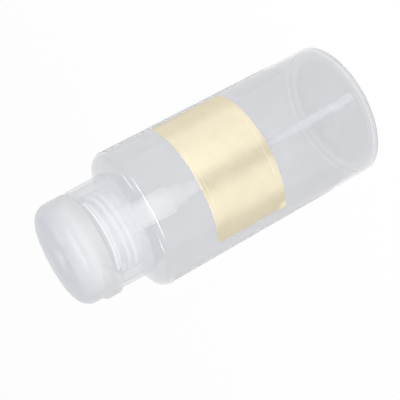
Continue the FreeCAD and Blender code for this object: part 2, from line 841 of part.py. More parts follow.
def make_hinge_notch(name):
    """The space that is cut from the lid and the collar round the hinge."""
    half = s["notch_half_height"]
    width = s["notch_half_width"]
    inside = spigot_outer + s["stop_gap"]
    outside = s["lid_radius"] + s["lip_reach"]
    return add_box(
        name,
        (inside, -width, hinge_height - half),
        (outside, width, hinge_height + half))


def make_collar():
    """Outer wall, top ledge, spigot for the lid, deck over the flange and inner threaded sleeve."""
    turned = new_body("collar_turned")
    foot = shoulder_at(s["collar_foot_radius"]) + s["collar_clear"]
    sleeve_foot = shoulder_at(sleeve_inner) + s["sleeve_clear"]
    wall_foot = s["collar_foot_radius"] - s["collar_wall"]
    wall_top = s["lid_radius"] - s["collar_wall"]
    bead_low = collar_top + s["bead_lift"]
    bead_high = bead_low + s["bead_width"]
    bead = dome_radius(s["bead_width"] / 2, s["bead_height"])
    outline = [
        (s["collar_foot_radius"], foot),
        (s["lid_radius"], collar_top),
        (spigot_outer, collar_top),
        (spigot_outer, bead_low),
        Arc(bead, True),
        (spigot_outer, bead_high),
        (spigot_outer, spigot_top),
        (spigot_inner, spigot_top),
        (spigot_inner, deck_top),
        (s["deck_hole"], deck_top),
        (s["deck_hole"], deck_bottom),
        (sleeve_inner, deck_bottom),
        (sleeve_inner, sleeve_foot),
        (sleeve_outer, sleeve_foot),
        (sleeve_outer, deck_bottom),
        (wall_top, deck_bottom),
        (wall_foot, foot),
    ]
    revolve(turned, "collar_shell", outline)
    return cut("screw_collar", turned, make_hinge_notch("collar_notch"))


def make_strap():
    half = s["strap_half_width"]
    outside = s["lid_radius"] - s["strap_inset"]
    strap = add_box(
        "hinge_strap",
        (outside - s["strap_thick"], -half, hinge_height - s["notch_half_height"]),
        (outside, half, hinge_height + s["notch_half_height"]))
    strap.Label = "hinge_strap"
    return strap


def make_lid_shell():
    """The lid's wall and crowned top, with the socket of the soft plug."""
    shell = new_body("lid_shell")
    outer_top = s["lid_radius"] - s["lid_draft"]
    inner_top = outer_top - s["lid_wall"]
    ceiling = lid_side_top - s["lid_top"]
    outer_crown = dome_radius(outer_top, s["lid_crown"])
    boss_bottom = dish_middle + s["plug_clear"] + s["plug_tip"] + s["plug_flange_thick"]
    boss_inner = s["plug_radius"] + s["press_gap"]
    boss_outer = boss_inner + s["boss_wall"]
    outline = [
        (lid_inner, lid_rim),
        (s["lid_radius"], lid_rim),
        (outer_top, lid_side_top),
        Arc(outer_crown, True),
        (0, lid_side_top + s["lid_crown"]),
        (0, ceiling),
        (boss_inner, ceiling),
        (boss_inner, boss_bottom),
        (boss_outer, boss_bottom),
        (boss_outer, ceiling),
        (inner_top, ceiling),
    ]
    wall = revolve(shell, "lid_turned", outline)
    inside = round_edges(
        shell, "lid_inner_edge", wall, s["lid_round"] - s["lid_wall"], is_ring(inner_top, ceiling))
    round_edges(shell, "lid_outer_edge", inside, s["lid_round"], is_ring(outer_top, lid_side_top))
    return shell


def is_low_corner(point, half_width, height):
    return abs(abs(point.y) - half_width.value) < MATCH and abs(point.z - height.value) < MATCH


def make_thumb_lip():
    """A bulged ring outside the lid, trimmed to a wide tongue with round lower corners."""
    ring = new_body("lip_ring")
    reach = s["lid_radius"] + s["lip_reach"]
    sunk = s["lid_radius"] - s["lid_wall"] / 2
    bottom = lid_rim - s["lip_drop"]
    top = lid_rim + s["lip_rise"]
    hang = s["lid_radius"] + s["lip_clear"]
    half_turn = as_size(180)
    outline = [
        (sunk, lid_rim),
        (hang, lid_rim),
        (hang, bottom),
        (reach, bottom),
        (reach, top - s["lip_slope"]),
        (s["lid_radius"], top),
        (sunk, top),
    ]
    bulge = revolve(ring, "lip_bulge", outline, half_turn)
    edges = round_edges(ring, "lip_lower_edge", bulge, s["lip_round"], is_ring(reach, bottom))
    round_edges(
        ring, "lip_upper_edge", edges, s["lip_round"], is_ring(reach, top - s["lip_slope"]))
    turn_about_axis(ring, half_turn)
    tongue = new_body("lip_tongue")
    half = s["lip_half_width"]
    beyond = s["lip_rise"] + s["lip_reach"]
    outline = [(-half, bottom), (half, bottom), (half, lid_rim + beyond), (-half, lid_rim + beyond)]
    block = pad(tongue, "tongue_block", "YZ_Plane", outline, reach + s["lip_reach"])
    round_edges(
        tongue, "tongue_corners", block, s["lip_corner"],
        lambda edge: all(is_low_corner(point.Point, half, bottom) for point in edge.Vertexes)
        and abs(edge.Vertexes[0].Y - edge.Vertexes[-1].Y) < MATCH)
    turn_about_axis(tongue, half_turn)
    lip = doc.addObject("Part::Common", "thumb_lip")
    lip.Base = ring
    lip.Tool = tongue
    return lip


def make_lid():
    whole = doc.addObject("Part::Fuse", "lid_with_lip")
    whole.Base = make_lid_shell()
    whole.Tool = make_thumb_lip()
    return cut("flip_lid", whole, make_hinge_notch("lid_notch"))


def make_plug():
    """The soft plug in the lid's socket; its tip covers the outlet."""
    body = new_body("lid_seal")
    tip = dish_middle + s["plug_clear"]
    flange_low = tip + s["plug_tip"]
    flange_high = flange_low + s["plug_flange_thick"]
    flange = s["plug_radius"] + s["plug_flange"]
    top = lid_side_top - s["lid_top"]
    outline = [
        (0, tip),
        (s["plug_radius"], tip),
        (s["plug_radius"], flange_low),
        (flange, flange_low),
        (flange, flange_high),
        (s["plug_radius"], flange_high),
        (s["plug_radius"], top),
        (0, top),
    ]
    revolve(body, "plug_body", outline)
    return body


def check(thing):
    """Stop on an object that failed or has no sound shape."""
    if "Invalid" in thing.State or "Error" in thing.State:
        raise RuntimeError("%s failed: %s" % (thing.Label, thing.State))
    shape = getattr(thing, "Shape", None)
    if shape is not None and hasattr(shape, "isNull") and not thing.isDerivedFrom("App::DatumElement"):
        if shape.isNull() or not shape.isValid():
            raise RuntimeError("%s has no sound shape" % thing.Label)


MAKERS = [
    make_bottle, make_label, make_gasket, make_housing, make_bush, make_ball_stop, make_inlet_ball,
    make_spring, make_piston, make_stem, make_outlet_ball, make_insert, make_dish, make_tube,
    make_collar, make_strap, make_lid, make_plug,
]


def main():
    nodes = [make() for make in MAKERS]
    doc.recompute()
    for thing in doc.Objects:
        check(thing)
    os.makedirs(NODES_FOLDER, exist_ok=True)
    for node in nodes:
        if len(node.Shape.Solids) != 1:
            raise RuntimeError("%s has %d solids" % (node.Label, len(node.Shape.Solids)))
        node.Shape.exportStep("%s/%s.step" % (NODES_FOLDER, node.Label))
        box = node.Shape.BoundBox
        print("%-14s volume %8.1f mm3, z %.2f to %.2f" % (node.Label, node.Shape.Volume, box.ZMin, box.ZMax))


main()
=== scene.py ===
"""A clear pump bottle with a frosted collar and flip lid, and a champagne foil label."""
import math

import bmesh
import bpy
from mathutils import Matrix, Vector


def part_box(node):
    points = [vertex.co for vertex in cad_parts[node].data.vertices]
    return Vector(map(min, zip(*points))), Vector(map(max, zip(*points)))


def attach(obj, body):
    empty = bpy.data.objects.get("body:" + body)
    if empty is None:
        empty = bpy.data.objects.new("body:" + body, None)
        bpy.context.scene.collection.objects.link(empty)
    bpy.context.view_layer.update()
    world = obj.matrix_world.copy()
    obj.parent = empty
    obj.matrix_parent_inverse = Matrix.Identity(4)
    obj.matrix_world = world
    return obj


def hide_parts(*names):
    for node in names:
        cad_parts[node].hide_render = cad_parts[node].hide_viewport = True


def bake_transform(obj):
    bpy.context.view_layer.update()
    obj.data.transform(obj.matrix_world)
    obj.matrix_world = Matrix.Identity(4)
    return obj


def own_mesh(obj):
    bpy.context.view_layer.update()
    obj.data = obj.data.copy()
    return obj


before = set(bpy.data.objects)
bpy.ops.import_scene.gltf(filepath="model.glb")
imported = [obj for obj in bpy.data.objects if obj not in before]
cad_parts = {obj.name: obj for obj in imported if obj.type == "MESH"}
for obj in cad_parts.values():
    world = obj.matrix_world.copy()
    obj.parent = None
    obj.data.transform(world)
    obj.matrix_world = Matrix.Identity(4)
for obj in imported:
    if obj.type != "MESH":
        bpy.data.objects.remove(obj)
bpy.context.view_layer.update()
scene = bpy.context.scene
MM = 0.001
TINY = 1e-6

# Bottle, in millimetres
BODY_RADIUS = 30.0
BODY_WALL = 1.0
BASE_WALL = 1.5
FOOT_INNER = 24.5
PUSHUP_RISE = 3.0
HEEL_ROUND = 1.0
INNER_HEEL = 2.2
SHOULDER_HEIGHT = 106.4
SHOULDER_ROUND = 3.0
NECK_ROOT = 109.2
NECK_RIM = 119.0
NECK_WALL = 1.7
NECK_ROOT_RADIUS = 15.1

# Rows of the bottle's skin, with heights and radii in millimetres
SKIN_SEGMENTS = 320
DOME_STEPS = 16
HEEL_STEPS = 8
WALL_STEPS = 12
OUTER_WALL_ROWS = (4.0, 104.0)
INNER_WALL_ROWS = (103.0, 6.0)
SHOULDER_STEPS = 14
INNER_SHOULDER_STEPS = 12
SHOULDER_ROW_RADIUS = 21.0
NECK_STEPS = 76

# Screw threads, in millimetres and turns
THREAD_PITCH = 3.0
THREAD_START = 109.75
THREAD_TAPER = 0.12
NECK_TURNS = (0.45, 2.8)
NECK_CREST_RADIUS = 16.1
NECK_RIDGE_ROOT = 0.85
NECK_RIDGE_CREST = 0.25
SLEEVE_TURNS = (0.1, 2.6)
SLEEVE_STEPS_PER_TURN = 120
SLEEVE_RADIUS = 16.4
SLEEVE_CREST_RADIUS = 15.5
SLEEVE_SUNK = 0.06
SLEEVE_RIDGE_ROOT = 0.75
SLEEVE_RIDGE_CREST = 0.25
SLEEVE_END_RISE = 0.02
RIDGE_SHOULDER = 0.88
RIDGE_SPREAD = 0.1
RIDGE_ROUND = 0.08

# Label, in millimetres and degrees
LABEL_INNER = 30.02
LABEL_OUTER = 30.14
LABEL_BOTTOM = 49.7
LABEL_TOP = 83.1
LABEL_SWEEP = 127.0
LABEL_TURN = 7.5
LABEL_CORNER = 2.5
LABEL_EDGE_DROP = 0.03
LABEL_EDGE_REACH = 0.12
LABEL_COARSE_STEP = 1.0
LABEL_FINE_STEP = 0.09
LABEL_STEP_GROWTH = 0.5
LABEL_SHORTEST_SHARE = 0.3
LABEL_DENSE_ACROSS = 0.5
LABEL_DENSE_ALONG = 0.6
FRAME_INSET = 2.3
FRAME_LINE = 0.16
FRAME_HEIGHT = 0.045
PEEL_REACH = 4.5
PEEL_LIFT = 1.1

# Return spring, in millimetres
SPRING_LOW = 88.65
SPRING_HIGH = 106.8
SPRING_MEAN_RADIUS = 3.9
SPRING_WIRE = 0.8
SPRING_TURNS = 8
SPRING_END_PITCH = 1.3
SPRING_STEPS_PER_TURN = 48
SPRING_SIDES = 12

# Hinge web, in millimetres and as shares of its thickness and height
HINGE_X = 21.3
WEB_STEPS = 24
WEB_COLUMNS = 10
WEB_THIN = 0.55
WEB_THIN_SPAN = 0.15
WEB_FADE_SPAN = 0.6

# Heights and radii in metres where the plastics' colours change: darker low on the wall, a heel ring
# darkened partly by thicker plastic and partly by painted shade, and painted shade on the lid's top
LOW_WALL_HEIGHTS = (0.055, 0.005)
HEEL_RADII = (0.0292, 0.0296)
HEEL_HEIGHTS = (0.003, 0.0012)
LID_HEIGHTS = (0.127, 0.139)

# The part of a noise texture's values that colours and roughness are spread over
NOISE_LOW = 0.3
NOISE_HIGH = 0.7

# Camera at the photograph's viewing angle, in metres and radians
CAMERA_ELEVATION = math.radians(20.04)
CAMERA_ROLL = math.radians(-118.5)
CAMERA_DISTANCE = 0.4362
CAMERA_TARGET = Vector((0, 0, 0.0751))
CAMERA_VIEW = math.radians(21.52)
CAMERA_SHIFT = (0.0193, -0.0334)

# Studio, in metres
FLOOR_HALF = 4.0
FLOOR_DROP = 0.0002
FLOOR_GREY = 0.9
FLOOR_GLOW_SHARE = 0.88
CARD_HEIGHT = 0.002
CARD_NEAR = 0.06
CARD_NEAR_BEHIND = 0.036
CARD_FAR = 0.6

# Materials of the pieces that keep their CAD shape
NODE_MATERIALS = {
    "screw_collar": "frosted_plastic",
    "flip_lid": "frosted_lid",
    "pump_housing": "white_plastic",
    "stem_bush": "white_plastic",
    "ball_stop": "white_plastic",
    "pump_stem": "white_plastic",
    "press_dish": "white_plastic",
    "outlet_insert": "white_plastic",
    "neck_gasket": "soft_white",
    "piston": "soft_white",
    "lid_seal": "soft_white",
    "dip_tube": "tube_plastic",
    "inlet_ball": "polished_steel",
    "outlet_ball": "polished_steel",
}
SEE_THROUGH = ("screw_collar", "flip_lid", "lid_seal", "dip_tube")


def smooth_step(value):
    """A value from 0 to 1 with a soft start and end."""
    value = min(max(value, 0.0), 1.0)
    return value * value * (3 - 2 * value)


def evenly(first, last, steps):
    """Values from the first to the last in even steps."""
    return [first + (last - first) * step / steps for step in range(steps + 1)]


def add_mesh(name, points, faces, sharp_angle):
    """A smooth-shaded mesh from points in millimetres, with creases sharper than the angle kept."""
    mesh = bpy.data.meshes.new(name)
    mesh.from_pydata([Vector(point) * MM for point in points], [], faces)
    shell = bmesh.new()
    shell.from_mesh(mesh)
    bmesh.ops.recalc_face_normals(shell, faces=shell.faces)
    shell.to_mesh(mesh)
    shell.free()
    mesh.polygons.foreach_set("use_smooth", [True] * len(mesh.polygons))
    mesh.set_sharp_from_angle(angle=math.radians(sharp_angle))
    mesh.update()
    thing = bpy.data.objects.new(name, mesh)
    scene.collection.objects.link(thing)
    return thing


def sweep_rings(rings):
    """Points and faces of a bar through rings that follow each other, with flat caps at both ends."""
    points = [point for ring in rings for point in ring]
    count = len(rings[0])
    last = (len(rings) - 1) * count
    faces = []
    for low in range(0, last, count):
        high = low + count
        for column in range(count):
            after = (column + 1) % count
            faces.append((low + column, low + after, high + after, high + column))
    faces.append(tuple(reversed(range(count))))
    faces.append(tuple(last + column for column in range(count)))
    return points, faces


def add_camera():
    """The camera in front of the bottle, rolled as in the photograph."""
    data = bpy.data.cameras.new("camera")
    data.sensor_width = 36.0
    data.lens = data.sensor_width / 2 / math.tan(CAMERA_VIEW / 2)
    data.shift_x, data.shift_y = CAMERA_SHIFT
    data.clip_start = 0.01
    data.clip_end = 50
    camera = bpy.data.objects.new("camera", data)
    scene.collection.objects.link(camera)
    across = Vector((1, 0, 0))
    up = Vector((0, math.sin(CAMERA_ELEVATION), math.cos(CAMERA_ELEVATION)))
    ahead = Vector((0, math.cos(CAMERA_ELEVATION), -math.sin(CAMERA_ELEVATION)))
    right = math.cos(CAMERA_ROLL) * across + math.sin(CAMERA_ROLL) * up
    top = -math.sin(CAMERA_ROLL) * across + math.cos(CAMERA_ROLL) * up
    turn = Matrix((right, top, -ahead)).transposed().to_4x4()
    camera.matrix_world = Matrix.Translation(CAMERA_TARGET - ahead * CAMERA_DISTANCE) @ turn
    scene.camera = camera


# Materials
class Material:
    """A Principled material with helpers that feed its sockets from textures in object space."""

    def __init__(self, name, **values):
        self.name = name
        self.material = bpy.data.materials.new(name)
        self.material.use_nodes = True
        self.tree = self.material.node_tree
        self.shader = self.tree.nodes["Principled BSDF"]
        self.coordinates = self.tree.nodes.new("ShaderNodeTexCoord")
        for key, value in values.items():
            self.shader.inputs[key.replace("_", " ")].default_value = value

    def link(self, source, target):
        self.tree.links.new(source, target)

    def noise(self, scale, detail=3.0, stretch=(1, 1, 1)):
        """Values of a noise texture."""
        mapping = self.tree.nodes.new("ShaderNodeMapping")
        mapping.inputs["Scale"].default_value = stretch
        self.link(self.coordinates.outputs["Object"], mapping.inputs["Vector"])
        texture = self.tree.nodes.new("ShaderNodeTexNoise")
        texture.inputs["Scale"].default_value = scale
        texture.inputs["Detail"].default_value = detail
        self.link(mapping.outputs["Vector"], texture.inputs["Vector"])
        return texture.outputs["Fac"]

    def radius_and_height(self):
        """Distance from the bottle's axis, and height."""
        place = self.tree.nodes.new("ShaderNodeSeparateXYZ")
        self.link(self.coordinates.outputs["Object"], place.inputs["Vector"])
        flat = self.tree.nodes.new("ShaderNodeCombineXYZ")
        self.link(place.outputs["X"], flat.inputs["X"])
        self.link(place.outputs["Y"], flat.inputs["Y"])
        length = self.tree.nodes.new("ShaderNodeVectorMath")
        length.operation = "LENGTH"
        self.link(flat.outputs["Vector"], length.inputs[0])
        return length.outputs["Value"], place.outputs["Z"]

    def step(self, source, low, high):
        """A soft step from 0 at the low value to 1 at the high one."""
        grade = self.tree.nodes.new("ShaderNodeMapRange")
        grade.interpolation_type = "SMOOTHSTEP"
        grade.inputs["From Min"].default_value = low
        grade.inputs["From Max"].default_value = high
        self.link(source, grade.inputs["Value"])
        return grade.outputs["Result"]

    def product(self, first, second):
        product = self.tree.nodes.new("ShaderNodeMath")
        product.operation = "MULTIPLY"
        self.link(first, product.inputs[0])
        self.link(second, product.inputs[1])
        return product.outputs["Value"]

    def mix(self, share, first, second):
        """The first colour where the share is 0, the second where it is 1."""
        mix = self.tree.nodes.new("ShaderNodeMix")
        mix.data_type = "RGBA"
        self.link(share, mix.inputs["Factor"])
        for socket, source in (("A", first), ("B", second)):
            target = [i for i in mix.inputs if i.name == socket and i.type == "RGBA"][0]
            self.link(source, target)
        return [o for o in mix.outputs if o.type == "RGBA"][0]

    def ramp(self, source, first, second):
        """A colour between two, by the values of a noise texture."""
        ramp = self.tree.nodes.new("ShaderNodeValToRGB")
        ramp.color_ramp.elements[0].position = NOISE_LOW
        ramp.color_ramp.elements[0].color = (*first, 1)
        ramp.color_ramp.elements[1].position = NOISE_HIGH
        ramp.color_ramp.elements[1].color = (*second, 1)
        self.link(source, ramp.inputs["Fac"])
        return ramp.outputs["Color"]

    def base(self, source):
        self.link(source, self.shader.inputs["Base Color"])

    def colour(self, source, first, second):
        self.base(self.ramp(source, first, second))

    def roughness(self, source, low, high):
        spread = self.tree.nodes.new("ShaderNodeMapRange")
        spread.inputs["From Min"].default_value = NOISE_LOW
        spread.inputs["From Max"].default_value = NOISE_HIGH
        spread.inputs["To Min"].default_value = low
        spread.inputs["To Max"].default_value = high
        self.link(source, spread.inputs["Value"])
        self.link(spread.outputs["Result"], self.shader.inputs["Roughness"])

    def bump(self, source, strength, distance):
        bump = self.tree.nodes.new("ShaderNodeBump")
        bump.inputs["Strength"].default_value = strength
        bump.inputs["Distance"].default_value = distance
        self.link(source, bump.inputs["Height"])
        self.link(bump.outputs["Normal"], self.shader.inputs["Normal"])


def make_materials():
    """All materials of the object, by their names."""
    clear = Material(
        "clear_plastic", IOR=1.1, Transmission_Weight=0.94,
        Coat_Weight=1.0, Coat_Roughness=0.045, Coat_IOR=1.5)
    cloud = clear.noise(40)
    wall = clear.ramp(cloud, (0.775, 0.782, 0.8), (0.795, 0.801, 0.817))
    low_wall = clear.ramp(cloud, (0.758, 0.763, 0.779), (0.778, 0.782, 0.796))
    # Darker ring at the outer heel: partly the thicker plastic there, partly painted shade
    thick_heel_shade = clear.ramp(cloud, (0.66, 0.668, 0.685), (0.68, 0.688, 0.7))
    radius, height = clear.radius_and_height()
    graded = clear.mix(clear.step(height, *LOW_WALL_HEIGHTS), wall, low_wall)
    outer_heel = clear.product(clear.step(radius, *HEEL_RADII), clear.step(height, *HEEL_HEIGHTS))
    clear.base(clear.mix(outer_heel, graded, thick_heel_shade))
    clear.roughness(clear.noise(90), 0.05, 0.09)

    # Paler tint on the inner heel: painted light that lifts the dark ring seen through the heel
    heel_painted_light = Material("clear_heel", IOR=1.03, Transmission_Weight=1.0)
    heel_painted_light.colour(heel_painted_light.noise(40), (0.84, 0.846, 0.858), (0.855, 0.86, 0.87))
    heel_painted_light.roughness(heel_painted_light.noise(90), 0.05, 0.09)

    frosted = Material(
        "frosted_plastic", IOR=1.45, Alpha=0.3, Coat_Weight=0.3, Coat_Roughness=0.1, Coat_IOR=1.5)
    frosted.colour(frosted.noise(60), (0.58, 0.595, 0.62), (0.6, 0.614, 0.636))
    frosted.roughness(frosted.noise(120), 0.3, 0.38)

    lid = Material(
        "frosted_lid", IOR=1.45, Alpha=0.58, Coat_Weight=0.1, Coat_Roughness=0.14, Coat_IOR=1.5,
        Subsurface_Weight=0.7, Subsurface_Radius=(1, 1, 1), Subsurface_Scale=0.006)
    lid_cloud = lid.noise(60)
    lid_side = lid.ramp(lid_cloud, (0.525, 0.526, 0.53), (0.545, 0.546, 0.55))
    # The lid's top is darker than its side: painted shade on the top
    lid_top_painted_shade = lid.ramp(lid_cloud, (0.465, 0.479, 0.505), (0.485, 0.498, 0.522))
    lid_height = lid.radius_and_height()[1]
    lid.base(lid.mix(lid.step(lid_height, *LID_HEIGHTS), lid_side, lid_top_painted_shade))
    lid.roughness(lid.noise(120), 0.3, 0.38)

    # The sleeve thread is the collar's frosted plastic made paler: painted light on the thread's ridges
    ridge_painted_light = Material("frosted_ridge", IOR=1.45, Alpha=0.5, Coat_Weight=0.12, Coat_Roughness=0.14)
    ridge_painted_light.colour(ridge_painted_light.noise(60), (0.755, 0.757, 0.76), (0.775, 0.777, 0.78))
    ridge_painted_light.roughness(ridge_painted_light.noise(120), 0.3, 0.38)

    white = Material("white_plastic", IOR=1.49)
    white.colour(white.noise(80), (0.795, 0.799, 0.805), (0.82, 0.823, 0.827))
    white.roughness(white.noise(300), 0.3, 0.42)

    soft = Material("soft_white", IOR=1.45, Transmission_Weight=0.1)
    soft.colour(soft.noise(120), (0.82, 0.825, 0.83), (0.86, 0.862, 0.865))
    soft.roughness(soft.noise(400), 0.45, 0.6)
    soft.bump(soft.noise(2500, detail=2), strength=0.1, distance=0.0001)

    tube = Material(
        "tube_plastic", IOR=1.2, Alpha=0.85,
        Subsurface_Weight=1.0, Subsurface_Radius=(1, 1, 1), Subsurface_Scale=0.003)
    tube_cloud = tube.noise(70, detail=2, stretch=(1, 1, 0.2))
    tube.colour(tube_cloud, (0.55, 0.555, 0.572), (0.57, 0.575, 0.588))
    tube.roughness(tube.noise(300), 0.5, 0.55)

    gold = Material("gold_foil", Metallic=1.0)
    gold.colour(gold.noise(160, detail=4), (0.87, 0.79, 0.585), (0.91, 0.835, 0.635))
    gold.roughness(gold.noise(500), 0.3, 0.38)
    gold.bump(gold.noise(1500, stretch=(0.12, 0.12, 1)), strength=0.3, distance=0.0001)

    paper = Material("label_paper", IOR=1.4)
    paper.colour(paper.noise(900, detail=4), (0.7, 0.7, 0.69), (0.76, 0.76, 0.75))
    paper.roughness(paper.noise(1500), 0.6, 0.75)
    paper.bump(paper.noise(3000), strength=0.15, distance=0.0001)

    steel = Material("polished_steel", Metallic=1.0)
    steel.colour(steel.noise(900), (0.6, 0.605, 0.61), (0.66, 0.662, 0.665))
    steel.roughness(steel.noise(1500), 0.1, 0.18)

    spring = Material("spring_steel", Metallic=1.0)
    spring_cloud = spring.noise(1200, detail=2, stretch=(1, 1, 4))
    spring.colour(spring_cloud, (0.5, 0.505, 0.51), (0.6, 0.602, 0.605))
    spring.roughness(spring.noise(2500), 0.22, 0.34)

    made = (clear, heel_painted_light, frosted, lid, ridge_painted_light, white, soft, tube, gold, paper, steel, spring)
    return {kind.name: kind.material for kind in made}


def paint(thing, name):
    """One material on the whole piece."""
    thing.data.materials.clear()
    thing.data.materials.append(materials[name])


def paint_faces(thing, name, numbers):
    """A second material on the faces with these numbers."""
    thing.data.materials.append(materials[name])
    for number in numbers:
        thing.data.polygons[number].material_index = 1


def let_light_in(thing):
    """See-through walls keep no light from what is inside them."""
    thing.visible_shadow = False
    thing.visible_diffuse = False


# Bottle
def arc_points(centre, radius, first, last, steps):
    """Points of a profile on an arc, with angles in degrees from the outward direction."""
    made = []
    for degrees in evenly(first, last, steps):
        angle = math.radians(degrees)
        made.append((centre[0] + radius * math.cos(angle), centre[1] + radius * math.sin(angle)))
    return made


def dome_points(half_width, low, rise, steps):
    """Points of the base's dome, from its edge to the axis."""
    radius = (half_width ** 2 + rise ** 2) / (2 * rise)
    centre = low + rise - radius
    made = []
    for step in range(steps + 1):
        reach = half_width * (1 - step / steps)
        made.append((reach, centre + math.sqrt(radius ** 2 - reach ** 2)))
    return made


def corner_arc(wall, corner_height, slope, radius, steps):
    """The round between the upright wall and the shoulder's cone."""
    end = 90 - math.degrees(math.atan(slope))
    centre = (wall - radius, corner_height - radius * math.tan(math.radians(end / 2)))
    return arc_points(centre, radius, 0, end, steps)


def thread_height(angle, height):
    """Height of the neck's thread above its root at a place on the neck."""
    share = angle / (2 * math.pi)
    whole = round((height - THREAD_START) / THREAD_PITCH - share)
    turn = whole + share
    away = abs(height - THREAD_START - THREAD_PITCH * turn)
    rise = smooth_step((NECK_RIDGE_ROOT - away) / (NECK_RIDGE_ROOT - NECK_RIDGE_CREST))
    end = min(turn - NECK_TURNS[0], NECK_TURNS[1] - turn)
    return (NECK_CREST_RADIUS - NECK_ROOT_RADIUS) * rise * smooth_step(end / THREAD_TAPER)


def add_bottle():
    """The blown bottle in one skin: outside up to the neck's rim, then the inside back down."""
    inner = BODY_RADIUS - BODY_WALL
    inner_corner = SHOULDER_HEIGHT - BODY_WALL
    inner_round = SHOULDER_ROUND - BODY_WALL
    rise = NECK_ROOT - SHOULDER_HEIGHT
    neck_inner = NECK_ROOT_RADIUS - NECK_WALL
    slope = rise / (BODY_RADIUS - NECK_ROOT_RADIUS)
    inner_slope = rise / (inner - neck_inner)
    shoulder_row = SHOULDER_HEIGHT + slope * (BODY_RADIUS - SHOULDER_ROW_RADIUS)
    heel_centre = (BODY_RADIUS - HEEL_ROUND, HEEL_ROUND)
    inner_heel_centre = (inner - INNER_HEEL, BASE_WALL + INNER_HEEL)

    profile = list(reversed(dome_points(FOOT_INNER, 0, PUSHUP_RISE, DOME_STEPS)))
    profile += arc_points(heel_centre, HEEL_ROUND, -90, 0, HEEL_STEPS)
    profile += [(BODY_RADIUS, height) for height in evenly(*OUTER_WALL_ROWS, WALL_STEPS)[:-1]]
    profile += corner_arc(BODY_RADIUS, SHOULDER_HEIGHT, slope, SHOULDER_ROUND, SHOULDER_STEPS)
    profile += [(SHOULDER_ROW_RADIUS, shoulder_row), (NECK_ROOT_RADIUS, NECK_ROOT)]
    first_thread_row = len(profile)
    profile += [(NECK_ROOT_RADIUS, height) for height in evenly(NECK_ROOT, NECK_RIM, NECK_STEPS)[1:]]
    last_thread_row = len(profile) - 2
    profile += [(neck_inner, NECK_RIM), (neck_inner, NECK_ROOT - BODY_WALL)]
    profile += reversed(corner_arc(inner, inner_corner, inner_slope, inner_round, INNER_SHOULDER_STEPS))
    profile += [(inner, height) for height in evenly(*INNER_WALL_ROWS, WALL_STEPS)]
    first_heel_row = len(profile)
    profile += arc_points(inner_heel_centre, INNER_HEEL, 0, -90, HEEL_STEPS)
    last_heel_row = len(profile)
    profile += dome_points(FOOT_INNER, BASE_WALL, PUSHUP_RISE, DOME_STEPS)

    points = []
    rows = []
    for row, (radius, height) in enumerate(profile):
        if radius < TINY:
            rows.append([len(points)] * SKIN_SEGMENTS)
            points.append((0, 0, height))
            continue
        rows.append(list(range(len(points), len(points) + SKIN_SEGMENTS)))
        for segment in range(SKIN_SEGMENTS):
            angle = 2 * math.pi * segment / SKIN_SEGMENTS
            reach = radius
            if first_thread_row <= row <= last_thread_row:
                reach += thread_height(angle, height)
            points.append((reach * math.cos(angle), reach * math.sin(angle), height))
    faces = []
    for low, high in zip(rows, rows[1:]):
        for segment in range(SKIN_SEGMENTS):
            after = (segment + 1) % SKIN_SEGMENTS
            corners = (low[segment], low[after], high[after], high[segment])
            faces.append(tuple(dict.fromkeys(corners)))

    bottle = add_mesh("bottle_shell", points, faces, sharp_angle=28.0)
    paint(bottle, "clear_plastic")
    heel_faces = range(first_heel_row * SKIN_SEGMENTS, last_heel_row * SKIN_SEGMENTS)
    paint_faces(bottle, "clear_heel", heel_faces)
    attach(bottle, "bottle")
    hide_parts("bottle")
    let_light_in(bottle)


# Screw thread of the sleeve
def add_sleeve_thread():
    """A helical ridge with tapered ends, its base sunk a little into the sleeve that carries it."""
    first, last = SLEEVE_TURNS
    base = SLEEVE_RADIUS + SLEEVE_SUNK
    depth = SLEEVE_CREST_RADIUS - SLEEVE_RADIUS
    start = THREAD_START + THREAD_PITCH / 2
    rings = []
    for turn in evenly(first, last, int((last - first) * SLEEVE_STEPS_PER_TURN)):
        end = min(turn - first, last - turn)
        rise = SLEEVE_END_RISE + (1 - SLEEVE_END_RISE) * smooth_step(end / THREAD_TAPER)
        angle = 2 * math.pi * turn
        middle = start + THREAD_PITCH * turn
        tip = SLEEVE_RADIUS + depth * rise
        shoulder = SLEEVE_RADIUS + depth * rise * RIDGE_SHOULDER
        section = [
            (base, -SLEEVE_RIDGE_ROOT),
            (shoulder, -SLEEVE_RIDGE_CREST - RIDGE_SPREAD),
            (tip, -SLEEVE_RIDGE_CREST + RIDGE_ROUND),
            (tip, SLEEVE_RIDGE_CREST - RIDGE_ROUND),
            (shoulder, SLEEVE_RIDGE_CREST + RIDGE_SPREAD),
            (base, SLEEVE_RIDGE_ROOT),
        ]
        rings.append([
            (radius * math.cos(angle), radius * math.sin(angle), middle + lift)
            for radius, lift in section])
    points, faces = sweep_rings(rings)
    thread = add_mesh("sleeve_thread", points, faces, sharp_angle=35.0)
    paint(thread, "frosted_ridge")
    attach(thread, "collar")
    let_light_in(thread)


# Label
def rounded_box_distance(across, along, half_across, half_along, corner):
    """How far a point of the flat label lies outside a rounded rectangle, negative inside."""
    dx = abs(across) - (half_across - corner)
    dy = abs(along) - (half_along - corner)
    outside = math.hypot(max(dx, 0.0), max(dy, 0.0))
    return outside + min(max(dx, dy), 0.0) - corner


def spaced(half, dense_at, reach):
    """Places from -half to half, close together near the dense places and wide apart elsewhere."""
    places = [-half]
    while places[-1] < half - TINY:
        here = places[-1]
        near = min(abs(abs(here) - place) for place in dense_at)
        step = LABEL_FINE_STEP
        if near >= reach:
            step = min(LABEL_COARSE_STEP, LABEL_FINE_STEP + (near - reach) * LABEL_STEP_GROWTH)
        places.append(min(here + step, half))
    if half - places[-2] < LABEL_FINE_STEP * LABEL_SHORTEST_SHARE:
        del places[-2]
    return places


